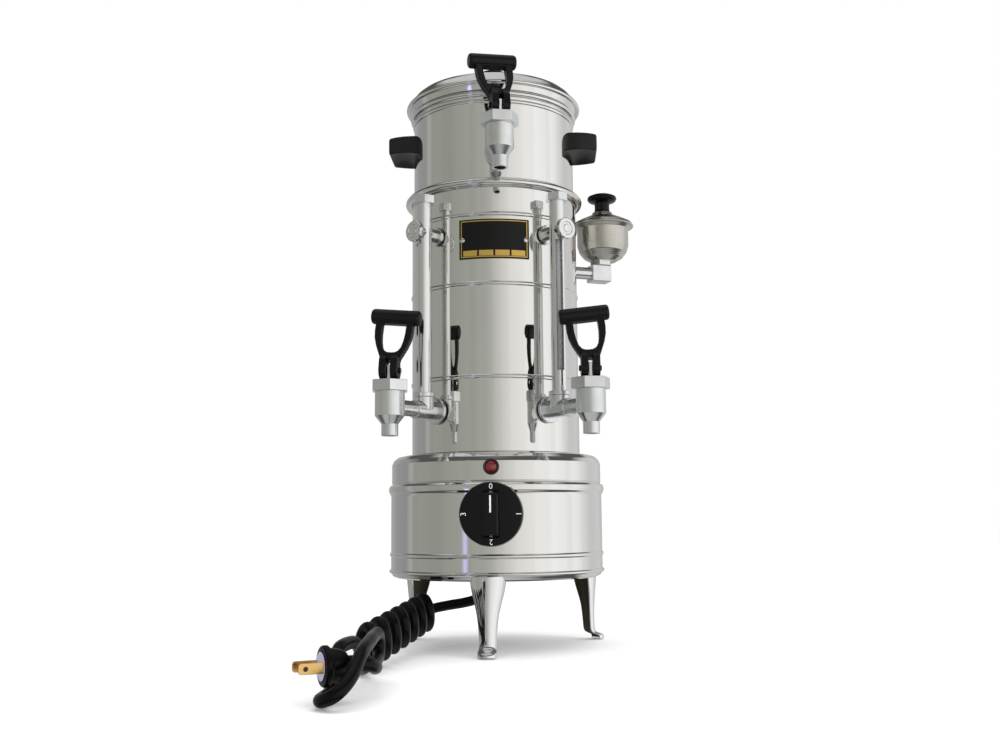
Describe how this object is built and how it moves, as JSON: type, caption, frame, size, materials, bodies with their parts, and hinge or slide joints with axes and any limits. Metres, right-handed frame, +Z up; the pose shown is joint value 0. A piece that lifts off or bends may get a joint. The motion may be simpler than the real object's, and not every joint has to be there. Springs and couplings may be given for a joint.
{
  "type": "coffee urn",
  "caption": "Upright electric coffee urn: a heated base on legs, a steel tank with taps, sight gauges and a filler cup, and a lift-off brewing vessel with its own tap.",
  "frame": {"origin": "on the floor under the tank's axis, at the soles of the feet", "axes": "-Y towards the front with the dial, +X to the viewer's right, +Z up along the tank's axis"},
  "size_m": [0.2324, 0.4272, 0.5044],
  "materials": {
    "polished_steel": "mirror polished stainless steel",
    "satin_steel": "satin stainless steel",
    "inner_steel": "plain stainless steel",
    "black_bakelite": "glossy black heat-resistant plastic",
    "black_matte": "matt black plastic",
    "rubber_black": "black rubber",
    "clear_glass": "clear gauge glass",
    "brass_metal": "brass",
    "red_lens": "glossy red lens",
    "plate_black": "black enamel plate with a gold border",
    "heater_steel": "dull grey heater sheath",
    "spring_steel": "spring steel",
    "seat_rubber": "pale silicone rubber"
  },
  "bodies": {
    "urn": {"base_shell": "polished_steel", "base_floor": "inner_steel", "front_leg": "polished_steel", "left_leg": "polished_steel", "right_leg": "polished_steel", "base_screws": "satin_steel", "heating_element": "heater_steel", "heater_clamp": "inner_steel", "switch_body": "black_matte", "pilot_bezel": "black_matte", "pilot_lens": "red_lens", "cord_gland": "black_matte", "cord_lead": "rubber_black", "cord_hank": "rubber_black", "cord_tail": "rubber_black", "plug_body": "rubber_black", "plug_blades": "brass_metal", "tank_shell": "polished_steel", "inner_pot": "inner_steel", "nameplate": "plate_black", "nameplate_rivets": "satin_steel", "tank_nuts": "satin_steel", "tank_gaskets": "rubber_black", "cup_pipe": "satin_steel", "cup_elbow": "satin_steel", "cup_bowl": "satin_steel", "gauge_guards": "polished_steel", "gauge_arms": "polished_steel", "gauge_glasses": "clear_glass", "gauge_caps": "polished_steel", "lower_tap_bonnets": "satin_steel", "left_tap_body": "satin_steel", "left_tap_spring": "spring_steel", "right_tap_body": "satin_steel", "right_tap_spring": "spring_steel"},
    "vessel": {"vessel_shell": "polished_steel", "left_vessel_grip": "black_bakelite", "right_vessel_grip": "black_bakelite", "front_tap_nut": "satin_steel", "front_tap_body": "satin_steel", "front_tap_bonnet": "satin_steel", "front_tap_spring": "spring_steel"},
    "dial": {"control_knob": "black_bakelite", "switch_shaft": "inner_steel"},
    "lid_part": {"lid": "polished_steel", "lid_knob": "black_bakelite"},
    "cup_cap": {"cup_lid": "satin_steel", "cup_knob": "black_bakelite"},
    "left_stem": {"left_tap_stem": "satin_steel", "left_tap_seat": "seat_rubber"},
    "left_handle": {"left_tap_handle": "black_bakelite", "left_tap_pin": "satin_steel"},
    "right_stem": {"right_tap_stem": "satin_steel", "right_tap_seat": "seat_rubber"},
    "right_handle": {"right_tap_handle": "black_bakelite", "right_tap_pin": "satin_steel"},
    "front_stem": {"front_tap_stem": "satin_steel", "front_tap_seat": "seat_rubber"},
    "front_handle": {"front_tap_handle": "black_bakelite", "front_tap_pin": "satin_steel"}
  },
  "joints": [
    {"name": "dial_turn", "type": "hinge", "parent": "urn", "child": "dial", "pos_m": [0, -0.093, 0.1092], "axis": [0, -1, 0], "continuous": true},
    {"name": "vessel_lift", "type": "slide", "parent": "urn", "child": "vessel", "axis": [0, 0, 1], "range_m": [0, 0.08]},
    {"name": "lid_lift", "type": "slide", "parent": "vessel", "child": "lid_part", "axis": [0, 0, 1], "range_m": [0, 0.06]},
    {"name": "cup_lid_lift", "type": "slide", "parent": "urn", "child": "cup_cap", "axis": [0, 0, 1], "range_m": [0, 0.04]},
    {"name": "left_stem_lift", "type": "slide", "parent": "urn", "child": "left_stem", "axis": [0, 0, 1], "range_m": [0, 0.0031], "deforming": ["left_tap_spring"]},
    {"name": "left_handle_tilt", "type": "hinge", "parent": "left_stem", "child": "left_handle", "pos_m": [-0.07844, -0.09861, 0.2214], "axis": [0.9914, -0.1305, 0], "range_deg": [0, 40], "stiffness_Nm_per_rad": 0.02, "springref_deg": -9.74},
    {"name": "right_stem_lift", "type": "slide", "parent": "urn", "child": "right_stem", "axis": [0, 0, 1], "range_m": [0, 0.0031], "deforming": ["right_tap_spring"]},
    {"name": "right_handle_tilt", "type": "hinge", "parent": "right_stem", "child": "right_handle", "pos_m": [0.07844, -0.09861, 0.2214], "axis": [0.999, 0.0436, 0], "range_deg": [0, 40], "stiffness_Nm_per_rad": 0.02, "springref_deg": -9.74},
    {"name": "front_stem_lift", "type": "slide", "parent": "vessel", "child": "front_stem", "axis": [0, 0, 1], "range_m": [0, 0.0031], "deforming": ["front_tap_spring"]},
    {"name": "front_handle_tilt", "type": "hinge", "parent": "front_stem", "child": "front_handle", "pos_m": [0.00952, -0.10457, 0.4335], "axis": [0.9511, 0.309, 0], "range_deg": [0, 40], "stiffness_Nm_per_rad": 0.02, "springref_deg": -9.74}
  ],
  "couplings": [
    {"joint": "left_stem_lift", "follows": "left_handle_tilt", "m_per_rad": 0.0043},
    {"joint": "right_stem_lift", "follows": "right_handle_tilt", "m_per_rad": 0.0043},
    {"joint": "front_stem_lift", "follows": "front_handle_tilt", "m_per_rad": 0.0043}
  ]
}
